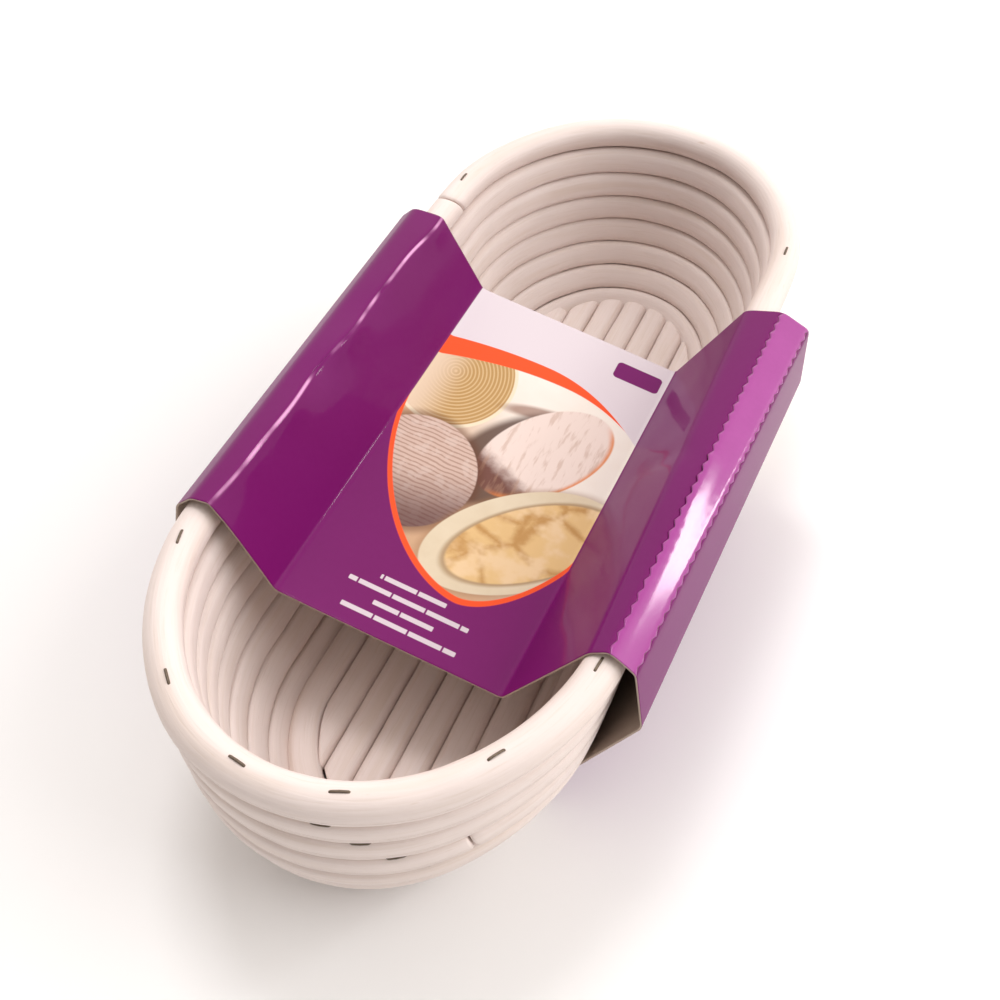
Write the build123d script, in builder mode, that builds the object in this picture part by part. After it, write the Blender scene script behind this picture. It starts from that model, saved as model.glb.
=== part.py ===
"""Long oval proofing basket (banneton) of bent rattan cane, with its printed card sleeve.

X is the width, Y the length, Z is up. The origin is the middle of the underside,
on the surface that the sleeve's bottom panel rests on.
"""

from math import acos, cos, degrees, radians, sin
import os

from build123d import *

# ---------------------------------------------------------------- driving dimensions, mm
width = 130.0
length = 318.0
height = 75.5
card = 0.5

rim_radius = 5.15
cane_radius = 4.75
course_pitch = 9.88
# slope of the wall from the rim down to each course in turn, degrees from level
wall_slopes = (80, 82, 82, 78, 67, 59, 52)

# plan of the rim's outer edge: straight sides, a wide shoulder arc, then a nose arc
shoulder_radius = 82.0
nose_radius = 58.0
# the near end's wall stands steeper, so its lowest course lies this much further out
near_stretch = 4.0

base_canes = 7
joint_gap = 0.4
scarf_tilt = 35.0

staple_wire = 0.8
staple_crown = 6.5
staple_leg = 7.0
# where staples pin the rim: outward directions round each end, degrees from the X axis
near_rim_staples = (8, 35, 71, 99, 133, 168)
far_rim_staples = (6, 176)
side_rim_staples = (-45, 5)
course_staple_turns = (76, 150)
base_staple_rows = (-70, 0, 70)

# card sleeve: its two ends along the basket, and how far round it sits turned, degrees
sleeve_near = -90.8
sleeve_far = 57.1
sleeve_turn = -1.73
# folds of its cross-section, each as (x, z) at the near end and at the far end
left_skirt = ((-71.8, 52.0), (-77.6, 52.0))
left_shoulder = ((-67.0, 72.8), (-70.0, 74.2))
left_crown = ((-61.3, 78.0), (-65.0, 79.0))
left_crest = ((-54.7, 79.3), (-54.7, 79.3))
left_panel = ((-38.7, 50.4), (-38.6, 53.0))
right_panel = ((32.4, 40.8), (35.6, 41.0))
rim_contact = ((55.7, 75.2), (55.7, 75.2))
right_crest = ((60.7, 78.3), (67.2, 78.3))
right_shoulder = ((68.2, 73.3), (76.4, 74.2))
right_skirt = ((71.8, 52.0), (77.6, 52.0))
# the bottom panel is pressed flat by this much where the basket stands on it
pressed = 0.05
bottom_left = ((-44.0, card / 2 - pressed), (-44.0, card / 2 - pressed))
bottom_right = ((44.0, card / 2 - pressed), (44.0, card / 2 - pressed))
tear_gap = 0.35

# ---------------------------------------------------------------- worked out from those
nose_turn = acos((shoulder_radius - width / 2) / (shoulder_radius - nose_radius))
shoulder_x = width / 2 - shoulder_radius
shoulder_y = length / 2 - nose_radius - (shoulder_radius - nose_radius) * sin(nose_turn)
nose_y = length / 2 - nose_radius

rim_inset = rim_radius
rim_z = height - rim_radius


def course_places():
    """Inset from the rim's outer edge, and height, of each wall course's centre line."""
    places = []
    inset = rim_inset
    z = rim_z
    for number, slope in enumerate(wall_slopes):
        step = course_pitch
        if number == 0:
            step = rim_radius + course_pitch / 2
        inset += step * cos(radians(slope))
        z -= step * sin(radians(slope))
        places.append((inset, z))
    return places


courses = course_places()
base_half_width = width / 2 - courses[-1][0] - cane_radius
base_pitch = 2 * base_half_width / base_canes
base_radius = base_pitch / 2 - 0.1
base_z = card + 0.05 + base_radius


def stretch_of(number):
    """How much further out a course's near end lies; the rim is number 0."""
    return near_stretch * number / len(courses)


def plan_place(inset, turn, end, stretch=0.0):
    """Point on a rounded end (-1 near, +1 far) whose outward direction is turn degrees from X."""
    turn_left = degrees(nose_turn)
    if turn_left <= turn <= 180 - turn_left:
        centre_x, centre_y, radius = 0, nose_y, nose_radius
    elif turn < turn_left:
        centre_x, centre_y, radius = shoulder_x, shoulder_y, shoulder_radius
    else:
        centre_x, centre_y, radius = -shoulder_x, shoulder_y, shoulder_radius
    if end < 0:
        centre_y += stretch
    x = centre_x + (radius - inset) * cos(radians(turn))
    y = end * (centre_y + (radius - inset) * sin(radians(turn)))
    return (x, y)


def far_half(inset, stretch):
    """The far half of the plan, from the right side round to the left, as three arcs."""
    shoulder = shoulder_radius - inset
    nose = nose_radius - inset
    turn = degrees(nose_turn)
    CenterArc((shoulder_x, shoulder_y + stretch), shoulder, 0, turn)
    CenterArc((0, nose_y + stretch), nose, turn, 180 - 2 * turn)
    CenterArc((-shoulder_x, shoulder_y + stretch), shoulder, 180 - turn, turn)


def closed_plan(inset, z, stretch=0.0):
    """Closed centre line at this inset from the rim's outer edge."""
    half_width = width / 2 - inset
    near_y = -shoulder_y - stretch
    with BuildLine(Plane.XY.offset(z)) as near_half:
        far_half(inset, stretch)
        mirror(about=Plane.XZ, mode=Mode.REPLACE)
    with BuildLine(Plane.XY.offset(z)) as line:
        far_half(inset, 0)
        Line((-half_width, shoulder_y), (-half_width, near_y))
        add(near_half.line)
        Line((half_width, near_y), (half_width, shoulder_y))
    return line.wire()


def finish(name, piece):
    """Label a piece and write it as a STEP file."""
    piece.part.label = name
    export_step(piece.part, f"parts/{name}.step")


def ring(name, inset, z, radius, stretch, seam_plane):
    """One cane bent round into a loop, its two ends meeting in a slanted scarf joint."""
    path = closed_plan(inset, z, stretch)
    with BuildPart() as loop:
        with BuildSketch(Plane(origin=path @ 0, z_dir=path % 0)):
            Circle(radius)
        sweep(path=path)
        with BuildSketch(seam_plane):
            Rectangle(4 * radius, 4 * radius)
        extrude(amount=joint_gap, mode=Mode.SUBTRACT)
    finish(name, loop)


def side_seam(place, y, side):
    """Slanted cutting plane across a cane on the basket's straight side."""
    inset, z = place
    x = side * (width / 2 - inset)
    return Plane(origin=(x, y, z), z_dir=(0, cos(radians(scarf_tilt)), sin(radians(scarf_tilt))))


def nose_seam(place, turn, end):
    """Slightly leaning cutting plane across a cane on one of the rounded ends."""
    inset, z = place
    x, y = plan_place(inset, turn, end)
    along = (-sin(radians(turn)), end * cos(radians(turn)), sin(radians(scarf_tilt / 2)))
    return Plane(origin=(x, y, z), z_dir=along)


os.makedirs("parts", exist_ok=True)

# ---------------------------------------------------------------- wall courses and rim
# Most joints lie along the straight sides, where one cane runs out and the next begins.
seam_planes = (
    side_seam(courses[0], -60, -1),
    side_seam(courses[1], 38, 1),
    nose_seam(courses[2], 36, -1),
    side_seam(courses[3], -12, -1),
    side_seam(courses[4], 20, 1),
    side_seam(courses[5], -44, 1),
    side_seam(courses[6], 50, -1),
)
for number, ((inset, z), seam) in enumerate(zip(courses, seam_planes), start=1):
    ring(f"wall_course_{number}", inset, z, cane_radius, stretch_of(number), seam)

ring("rim_cane", rim_inset, rim_z, rim_radius, 0, side_seam((rim_inset, rim_z), 78, -1))

# ---------------------------------------------------------------- base canes
floor_inset = courses[-1][0] + cane_radius + 0.1
curl_inset = floor_inset + base_radius
curl_end_turn = 72.0
curl_length = 206.0


def base_floor(inset):
    """Flat region inside the lowest wall course, or inside the curled cane."""
    with BuildSketch() as floor:
        make_face(closed_plan(inset, 0, near_stretch))
    return floor.sketch


# The leftmost base cane runs down the side, then bends with the wall round the near end.
with BuildPart() as curled_cane:
    turn = degrees(nose_turn)
    curl_x = -(width / 2 - curl_inset)
    near_y = -shoulder_y - near_stretch
    with BuildLine(Plane.XY.offset(base_z)) as curl:
        Line((curl_x, near_y + curl_length), (curl_x, near_y))
        CenterArc((-shoulder_x, near_y), shoulder_radius - curl_inset, 180, turn)
        CenterArc((0, -nose_y - near_stretch), nose_radius - curl_inset, 180 + turn,
                  curl_end_turn - turn)
    path = curl.wire()
    with BuildSketch(Plane(origin=path @ 0, z_dir=path % 0)):
        Circle(base_radius)
    sweep(path=path)
    add(extrude(base_floor(floor_inset), amount=3 * base_radius, mode=Mode.PRIVATE),
        mode=Mode.INTERSECT)
finish("base_cane_1", curled_cane)

# The rest run straight, cut at their ends to fit the wall or the curled cane.
curl_tail = curl_inset + base_radius + 0.15
for number in range(2, base_canes + 1):
    x = -base_half_width + base_pitch * (number - 0.5)
    with BuildPart() as straight_cane:
        with BuildSketch(Plane.XZ.offset(-length / 2)):
            with Locations((x, base_z)):
                Circle(base_radius)
        extrude(amount=length)
        add(extrude(base_floor(floor_inset), amount=3 * base_radius, mode=Mode.PRIVATE),
            mode=Mode.INTERSECT)
        if number <= 3:
            near_side = Box(width, length / 2, 3 * base_radius, mode=Mode.PRIVATE,
                            align=(Align.CENTER, Align.MAX, Align.MIN))
            inside = extrude(base_floor(curl_tail), amount=3 * base_radius, mode=Mode.PRIVATE)
            add(near_side - inside, mode=Mode.SUBTRACT)
    finish(f"base_cane_{number}", straight_cane)

# ---------------------------------------------------------------- staples


def staples(name, planes):
    """Wire staples, one on each plane: crown along the plane's X, legs down its -Z."""
    with BuildPart() as group:
        with Locations(*[Location(plane) for plane in planes]):
            Box(staple_crown, staple_wire, staple_wire)
            with Locations((-(staple_crown - staple_wire) / 2, 0), ((staple_crown - staple_wire) / 2, 0)):
                Box(staple_wire, staple_wire, staple_leg, align=(Align.CENTER, Align.CENTER, Align.MAX))
    finish(name, group)


def along(turn, end):
    """Direction along the plan where its outward direction is turn degrees from X."""
    return (-sin(radians(turn)), end * cos(radians(turn)), 0)


rim_planes = []
for end, turns in ((-1, near_rim_staples), (1, far_rim_staples)):
    for turn in turns:
        x, y = plan_place(rim_inset, turn, end)
        rim_planes.append(Plane(origin=(x, y, height), x_dir=along(turn, end), z_dir=(0, 0, 1)))
for side in (-1, 1):
    for y in side_rim_staples:
        rim_planes.append(Plane(origin=(side * (width / 2 - rim_inset), y, height), x_dir=(0, 1, 0),
                                z_dir=(0, 0, 1)))
staples("rim_staples", rim_planes)

# One staple at each end in every groove of the outer wall, each groove's a little further round.
course_planes = []
levels = [(rim_inset, rim_z)] + courses
for number in range(len(courses)):
    inset = (levels[number][0] + levels[number + 1][0]) / 2 - cane_radius / 2
    z = (levels[number][1] + levels[number + 1][1]) / 2
    for end, turn in zip((-1, 1), course_staple_turns):
        place = plan_place(inset, turn - 9 * number, end, stretch_of(number + 0.5))
        outward = (cos(radians(turn - 9 * number)), end * sin(radians(turn - 9 * number)), 0)
        course_planes.append(Plane(origin=(*place, z), x_dir=along(turn - 9 * number, end),
                                   z_dir=outward))
staples("course_staples", course_planes)

# Staples across the grooves of the base, from underneath.
base_planes = []
for groove in range(1, base_canes):
    x = -base_half_width + base_pitch * groove
    for y in base_staple_rows:
        base_planes.append(Plane(origin=(x, y, card + 1.6), x_dir=(1, 0, 0), z_dir=(0, 0, -1)))
staples("base_staples", base_planes)

# ---------------------------------------------------------------- card sleeve


def shortened(start, end, cut):
    """The point cut millimetres from start towards end."""
    reach = ((end[0] - start[0]) ** 2 + (end[1] - start[1]) ** 2) ** 0.5
    return (start[0] + (end[0] - start[0]) * cut / reach, start[1] + (end[1] - start[1]) * cut / reach)


def card_outline(points):
    """Corners round a strip of card of even thickness, folded along the line through the points."""
    line = [Vector(*point) for point in points]
    normals = [(after - before).normalized().rotate(Axis.Z, 90) for before, after in zip(line, line[1:])]
    above = []
    below = []
    for place, arriving, leaving in zip(line, normals[:1] + normals, normals + normals[-1:]):
        mitre = (arriving + leaving) * (card / 2 / (1 + arriving.dot(leaving)))
        above.append(place + mitre)
        below.append(place - mitre)
    return above + below[::-1]


def card_panel(name, folds):
    """Folded card of even thickness, its section running through the given folds."""
    cut = (tear_gap + card) / 2
    turn = radians(sleeve_turn)
    with BuildPart() as panel:
        for end, y in enumerate((sleeve_near, sleeve_far)):
            points = [fold[end] for fold in folds]
            first = shortened(points[0], points[1], cut)
            last = shortened(points[-1], points[-2], cut)
            section = Plane(origin=(0, y, 0), x_dir=(cos(turn), sin(turn), 0),
                            z_dir=(sin(turn), -cos(turn), 0))
            with BuildSketch(section):
                with BuildLine():
                    Polyline(*card_outline([first, *points[1:-1], last]), close=True)
                make_face()
        loft(ruled=True)
        split(bisect_by=Plane.XY, keep=Keep.TOP)
    finish(name, panel)


card_panel("sleeve_wrap", [
    left_crest,
    left_crown,
    left_shoulder,
    left_skirt,
    bottom_left,
    bottom_right,
    right_skirt,
    right_shoulder,
])
card_panel("tear_strip", [right_shoulder, right_crest])
card_panel("front_flap", [
    right_crest,
    rim_contact,
    right_panel,
    left_panel,
    left_crest,
])
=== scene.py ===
"""Looks of the long oval proofing basket and its printed card sleeve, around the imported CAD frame.

Metres, in the frame of the CAD: X is the width, Y the length, Z is up.
"""

import math

import bpy
import numpy as np
from mathutils import Matrix, Vector


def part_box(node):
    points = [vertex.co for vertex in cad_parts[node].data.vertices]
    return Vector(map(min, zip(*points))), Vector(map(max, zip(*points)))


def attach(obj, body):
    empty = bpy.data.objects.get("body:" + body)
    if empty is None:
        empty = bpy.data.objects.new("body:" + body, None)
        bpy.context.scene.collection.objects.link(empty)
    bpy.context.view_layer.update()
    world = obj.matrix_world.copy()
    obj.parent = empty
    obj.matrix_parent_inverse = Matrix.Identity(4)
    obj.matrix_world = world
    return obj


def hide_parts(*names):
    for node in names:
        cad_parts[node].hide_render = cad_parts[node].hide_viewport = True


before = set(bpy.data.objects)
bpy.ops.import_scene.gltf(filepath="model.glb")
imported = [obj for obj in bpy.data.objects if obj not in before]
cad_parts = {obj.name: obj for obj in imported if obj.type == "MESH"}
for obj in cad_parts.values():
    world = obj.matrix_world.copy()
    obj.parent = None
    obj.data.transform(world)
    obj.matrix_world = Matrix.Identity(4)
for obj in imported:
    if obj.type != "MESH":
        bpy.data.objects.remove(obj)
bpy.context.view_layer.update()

MM = 0.001

# ---------------------------------------------------------------- driving dimensions, mm
# plan of the rim's outer edge: a wide shoulder arc, then a nose arc
SHOULDER_RADIUS = 82.0
NOSE_RADIUS = 58.0
# how far out the lowest course's near end lies, compared with its far end
NEAR_STRETCH = 4.0
COURSES = 7

# the courses and base canes touch each other, so they are a little thicker than the CAD's;
# the rim is a little thinner, so that the flap clears it when the sleeve slides
COURSE_RADIUS = 4.95
RIM_RADIUS = 5.1
BASE_RADIUS = 4.8
# 2 is a round cane, more is a cane with flatter sides
COURSE_FLATNESS = 3.3
RIM_FLATNESS = 2.05
BASE_FLATNESS = 3.2
# where each course's two ends meet: its number to (place along Y, side of the basket)
SIDE_SEAMS = {1: (-60, -1), 2: (38, 1), 4: (-12, -1), 5: (20, 1), 6: (-44, 1), 7: (50, -1)}
# one course's ends meet on the near nose instead, this many degrees round from X
NOSE_SEAM_COURSE = 3
NOSE_SEAM_TURN = 36.0
RIM_SEAM = (78, -1)
SEAM_GAP = 0.7
SCARF = math.tan(math.radians(35))
NOSE_SCARF = math.tan(math.radians(17))

# how a cane is divided along its length, and how far its thickness, line and skin waver
CANE_STEP = 2.6
THICKNESS_WAVER = 0.016
OVAL_WAVER = 0.012
RIPPLE = 0.05
WANDER = 0.16
LIFT = 0.10
# length over which a slanted end cut dies out into the cane
SLANT_FADE = 14.0

# base canes: the length the straight ones are divided by, and the curled one's straight run,
# how much is cut off its far end and how many degrees round the near end it stops
STRAIGHT_DIVIDED = 250
CURL_LENGTH = 206.0
CURL_TRIM = 6
CURL_END_TURN = 72.0

# card sleeve, as in the CAD: its thickness, its two ends, how far round it sits turned, and
# each fold's (x, z) at the near end and at the far end
CARD = 0.5
SLEEVE_NEAR = -90.8
SLEEVE_FAR = 57.1
SLEEVE_TURN = math.radians(-1.73)
LEFT_SKIRT = ((-71.8, 52.0), (-77.6, 52.0))
LEFT_SHOULDER = ((-67.0, 72.8), (-70.0, 74.2))
LEFT_CROWN = ((-61.3, 78.0), (-65.0, 79.0))
LEFT_CREST = ((-54.7, 79.3), (-54.7, 79.3))
LEFT_PANEL = ((-38.7, 50.4), (-38.6, 53.0))
RIGHT_PANEL = ((32.4, 40.8), (35.6, 41.0))
RIM_CONTACT = ((55.7, 75.2), (55.7, 75.2))
RIGHT_CREST = ((60.7, 78.3), (67.2, 78.3))
RIGHT_SHOULDER = ((68.2, 73.3), (76.4, 74.2))
RIGHT_SKIRT = ((71.8, 52.0), (77.6, 52.0))
BOTTOM_LEFT = ((-44.0, 0.25), (-44.0, 0.25))
BOTTOM_RIGHT = ((44.0, 0.25), (44.0, 0.25))
# how sharply the card turns at a fold, and how finely that turn is stepped
FOLD_RADIUS = 1.6
CORNER_STEPS = 6
# teeth along each perforated edge, and the length over which an edge's zigzag dies out inwards
TEETH = 32
STEPS_PER_TOOTH = 8
TOOTH_DEPTH = 0.95
TOOTH_FADE = 2.6

rng = np.random.default_rng(7)


# ---------------------------------------------------------------- small mesh helpers
def smooth_noise(seed, wavelength, positions, octaves=4):
    """Smooth random wave of unit size along positions (mm)."""
    local = np.random.default_rng(seed)
    wave = np.zeros_like(positions, dtype=float)
    for octave in range(octaves):
        length = wavelength / 1.7 ** octave
        phase = local.uniform(0, 2 * math.pi)
        drift = local.uniform(0.8, 1.2)
        wave += np.sin(2 * math.pi * drift * positions / length + phase) / 1.5 ** octave
    return wave / 2.2


def make_mesh(name, points, faces, uv=None):
    """Mesh object from points in mm; uv holds one (u, v) in mm for each point."""
    mesh = bpy.data.meshes.new(name)
    mesh.from_pydata((np.asarray(points) * MM).tolist(), [], faces)
    if uv is not None:
        layer = mesh.uv_layers.new(name="UVMap")
        corner_points = np.zeros(len(mesh.loops), dtype=np.int32)
        mesh.loops.foreach_get("vertex_index", corner_points)
        layer.data.foreach_set("uv", np.asarray(uv)[corner_points].astype(np.float32).ravel())
    mesh.polygons.foreach_set("use_smooth", np.ones(len(mesh.polygons), dtype=bool))
    mesh.update()
    piece = bpy.data.objects.new(name, mesh)
    bpy.context.scene.collection.objects.link(piece)
    return piece


def grid_faces(rows, columns, wrap):
    """Quads of a grid of points; wrap joins the last column to the first."""
    faces = []
    for row in range(rows - 1):
        for column in range(columns if wrap else columns - 1):
            beside = (column + 1) % columns
            faces.append((row * columns + column, row * columns + beside,
                          (row + 1) * columns + beside, (row + 1) * columns + column))
    return faces


# ---------------------------------------------------------------- plan of the basket
rim_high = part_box("rim_cane")[1]
HALF_WIDTH = rim_high.x / MM
HALF_LENGTH = rim_high.y / MM
NOSE_TURN = math.acos((SHOULDER_RADIUS - HALF_WIDTH) / (SHOULDER_RADIUS - NOSE_RADIUS))
SHOULDER_X = HALF_WIDTH - SHOULDER_RADIUS
NOSE_Y = HALF_LENGTH - NOSE_RADIUS
SHOULDER_Y = NOSE_Y - (SHOULDER_RADIUS - NOSE_RADIUS) * math.sin(NOSE_TURN)


class Plan:
    """Centre line of a cane bent round the basket, measured from the middle of the right side."""

    def __init__(self, inset, stretch):
        self.half_width = HALF_WIDTH - inset
        shoulder = (SHOULDER_RADIUS - inset) * NOSE_TURN
        nose = (NOSE_RADIUS - inset) * (math.pi - 2 * NOSE_TURN)
        far_y = SHOULDER_Y
        near_y = SHOULDER_Y + stretch
        self.inset = inset
        self.runs = (far_y, shoulder, nose, shoulder, far_y + near_y, shoulder, nose, shoulder, near_y)
        self.ends = np.cumsum(self.runs)
        self.length = self.ends[-1]
        self.stretch = stretch

    def point(self, distance):
        """x, y and the outward direction's angle at each distance along the line."""
        distance = np.mod(distance, self.length)
        run = np.searchsorted(self.ends, distance, side="right").clip(0, len(self.runs) - 1)
        start = self.ends - np.array(self.runs)
        travelled = distance - start[run]
        shoulder = SHOULDER_RADIUS - self.inset
        nose = NOSE_RADIUS - self.inset
        near = -self.stretch
        turns = (0, 0, NOSE_TURN, math.pi - NOSE_TURN, math.pi, math.pi, math.pi + NOSE_TURN,
                 2 * math.pi - NOSE_TURN, 2 * math.pi)
        radii = (0, shoulder, nose, shoulder, 0, shoulder, nose, shoulder, 0)
        centres = ((0, 0), (SHOULDER_X, SHOULDER_Y), (0, NOSE_Y), (-SHOULDER_X, SHOULDER_Y), (0, 0),
                   (-SHOULDER_X, -SHOULDER_Y + near), (0, -NOSE_Y + near), (SHOULDER_X, -SHOULDER_Y + near),
                   (0, 0))
        radius = np.array(radii)[run]
        angle = np.array(turns)[run] + np.where(radius > 0, travelled / np.maximum(radius, 1), 0)
        x = np.array(centres)[run, 0] + radius * np.cos(angle)
        y = np.array(centres)[run, 1] + radius * np.sin(angle)
        x = np.where((run == 0) | (run == 8), self.half_width, np.where(run == 4, -self.half_width, x))
        y = np.where(run == 0, travelled, y)
        y = np.where(run == 4, SHOULDER_Y - travelled, y)
        y = np.where(run == 8, -SHOULDER_Y + near + travelled, y)
        return x, y, angle

    def side_distance(self, y, side):
        """Distance along the line of a place on a straight side."""
        if side > 0:
            return y if y > 0 else self.length + y
        return self.ends[3] + SHOULDER_Y - y

    def near_distance(self, turn):
        """Distance of a place on the near nose whose outward direction is turn degrees from X."""
        nose = NOSE_RADIUS - self.inset
        angle = 2 * math.pi - math.radians(turn)
        return self.ends[5] + nose * (angle - math.pi - NOSE_TURN)


# ---------------------------------------------------------------- canes
# where round its section a cane touches its neighbours, in radians; the cane material paints groove shade
# along these lines
BESIDE = 0.0
ABOVE_AND_BELOW = math.pi / 2
# UV across a cane: the angle from its contact line, times this
ANGLE_TO_UV = 5.0
# UV along a cane starts this much further on for each seed, so that no two look the same
UV_SPACING = 1000


def cane_section(radius, flatness, around):
    """Slightly squared round section: sideways and upward reach at each step round the cane."""
    angle = np.linspace(0, 2 * math.pi, around, endpoint=False)
    power = 2.0 / flatness
    sideways = np.sign(np.cos(angle)) * np.abs(np.cos(angle)) ** power
    upward = np.sign(np.sin(angle)) * np.abs(np.sin(angle)) ** power
    return radius * sideways, radius * upward, angle


def cane_mesh(name, seed, place, length, radius, flatness, tilt=0.0, shear=(0.0, 0.0), around=36,
              contact=BESIDE, contacts=2):
    """Cane swept along place(distance) -> x, y, outward angle, z, with rounded cut ends.

    The section leans by tilt; shear slants the two ends; the surface wavers as real cane does.
    The cane touches others along one or two contact lines, the first at the angle contact.
    """
    steps = max(int(length / CANE_STEP), 8)
    distance = np.linspace(0, length, steps)
    lead_in = np.array([0.0, 0.12, 0.45, 1.0])
    between = distance[(distance > 1.5) & (distance < length - 1.5)]
    distance = np.concatenate([lead_in, between, length - lead_in[::-1]])
    sideways, upward, angle = cane_section(1.0, flatness, around)
    grid = distance[:, None] * np.ones(around)
    end_gap = np.minimum(distance, length - distance)
    rounding = 1 - 0.13 * np.clip(1 - end_gap / 1.0, 0, 1) ** 2
    thickness = radius * (1 + THICKNESS_WAVER * smooth_noise(seed, 95, distance)) * rounding
    squash = 1 + OVAL_WAVER * smooth_noise(seed + 50, 60, distance)
    ripple = RIPPLE * smooth_noise(seed + 90, 23, grid + 9 * np.sin(angle))
    across = (thickness * squash)[:, None] * sideways + ripple * np.cos(angle)
    up = (thickness / squash)[:, None] * upward + ripple * np.sin(angle)
    fade_in = np.clip(1 - distance / SLANT_FADE, 0, 1) ** 2
    fade_out = np.clip(1 - (length - distance) / SLANT_FADE, 0, 1) ** 2
    slant = (fade_in * shear[0] + fade_out * shear[1])[:, None] * up
    x, y, outward, z = place(grid + slant)
    lean = math.radians(tilt)
    out = across * math.cos(lean) + up * math.sin(lean)
    rise = up * math.cos(lean) - across * math.sin(lean)
    wander = WANDER * smooth_noise(seed + 20, 120, grid)
    lift = LIFT * smooth_noise(seed + 30, 100, grid)
    points = np.stack([x + (out + wander) * np.cos(outward), y + (out + wander) * np.sin(outward),
                       z + rise + lift], axis=-1).reshape(-1, 3)
    from_contact = (angle - contact) * ANGLE_TO_UV * contacts / 2
    uv = np.stack([grid + UV_SPACING * seed, np.broadcast_to(from_contact, grid.shape)], axis=-1)
    uv = uv.reshape(-1, 2)
    rows = len(distance)
    faces = grid_faces(rows, around, wrap=True)
    first_cap = len(points)
    points = np.vstack([points, points[:around].mean(0), points[-around:].mean(0)])
    uv = np.vstack([uv, uv[0], uv[-around]])
    for column in range(around):
        beside = (column + 1) % around
        faces.append((first_cap, beside, column))
        last = (rows - 1) * around
        faces.append((first_cap + 1, last + column, last + beside))
    return make_mesh(name, points, faces, uv)


def centre_of(node):
    """Inset from the rim's outer edge, height and radius of a bent cane's CAD centre line."""
    low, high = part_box(node)
    cad_radius = (high.z - low.z) / MM / 2
    return HALF_WIDTH - high.x / MM + cad_radius, (high.z + low.z) / MM / 2, cad_radius


def lean_of(number):
    """How far the wall leans out at a course, degrees from upright."""
    above, above_level, _ = centre_of(f"wall_course_{number - 1}" if number > 1 else "rim_cane")
    below, below_level, _ = centre_of(f"wall_course_{min(number + 1, COURSES)}")
    return math.degrees(math.atan2(below - above, above_level - below_level))


def course_cane(node, number, radius, flatness, seed):
    """A wall course, or the rim (number 0), laid on its CAD node's own centre line."""
    inset, level, _ = centre_of(node)
    plan = Plan(inset, NEAR_STRETCH * number / COURSES)
    if number == NOSE_SEAM_COURSE:
        start = plan.near_distance(NOSE_SEAM_TURN)
        slant = NOSE_SCARF
    else:
        y, side = RIM_SEAM if number == 0 else SIDE_SEAMS[number]
        start = plan.side_distance(y, side)
        slant = SCARF * side
    start += SEAM_GAP / 2

    def place(distance):
        x, y, outward = plan.point(distance + start)
        return x, y, outward, level

    piece = cane_mesh(f"{node}_bent", seed, place, plan.length - SEAM_GAP, radius, flatness,
                      tilt=lean_of(number) if number else 0.0, shear=(-slant, -slant),
                      contact=ABOVE_AND_BELOW if number else -ABOVE_AND_BELOW, contacts=2 if number else 1)
    return finish_piece(piece, node, cane_material, "basket")


def floor_end(inset, x, stretch):
    """How far along Y the region inside this inset reaches at x."""
    nose = NOSE_RADIUS - inset
    shoulder = SHOULDER_RADIUS - inset
    x = np.abs(x)
    on_nose = NOSE_Y + np.sqrt(np.maximum(nose ** 2 - x ** 2, 0))
    on_shoulder = SHOULDER_Y + np.sqrt(np.maximum(shoulder ** 2 - (x - SHOULDER_X) ** 2, 0))
    return np.where(x < nose * math.cos(NOSE_TURN), on_nose, on_shoulder) + stretch


def finish_piece(piece, node, material, body):
    """Give a piece its material and let it stand for a CAD node on that node's body."""
    piece.data.materials.append(material)
    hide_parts(node)
    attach(piece, body)
    return piece


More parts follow.
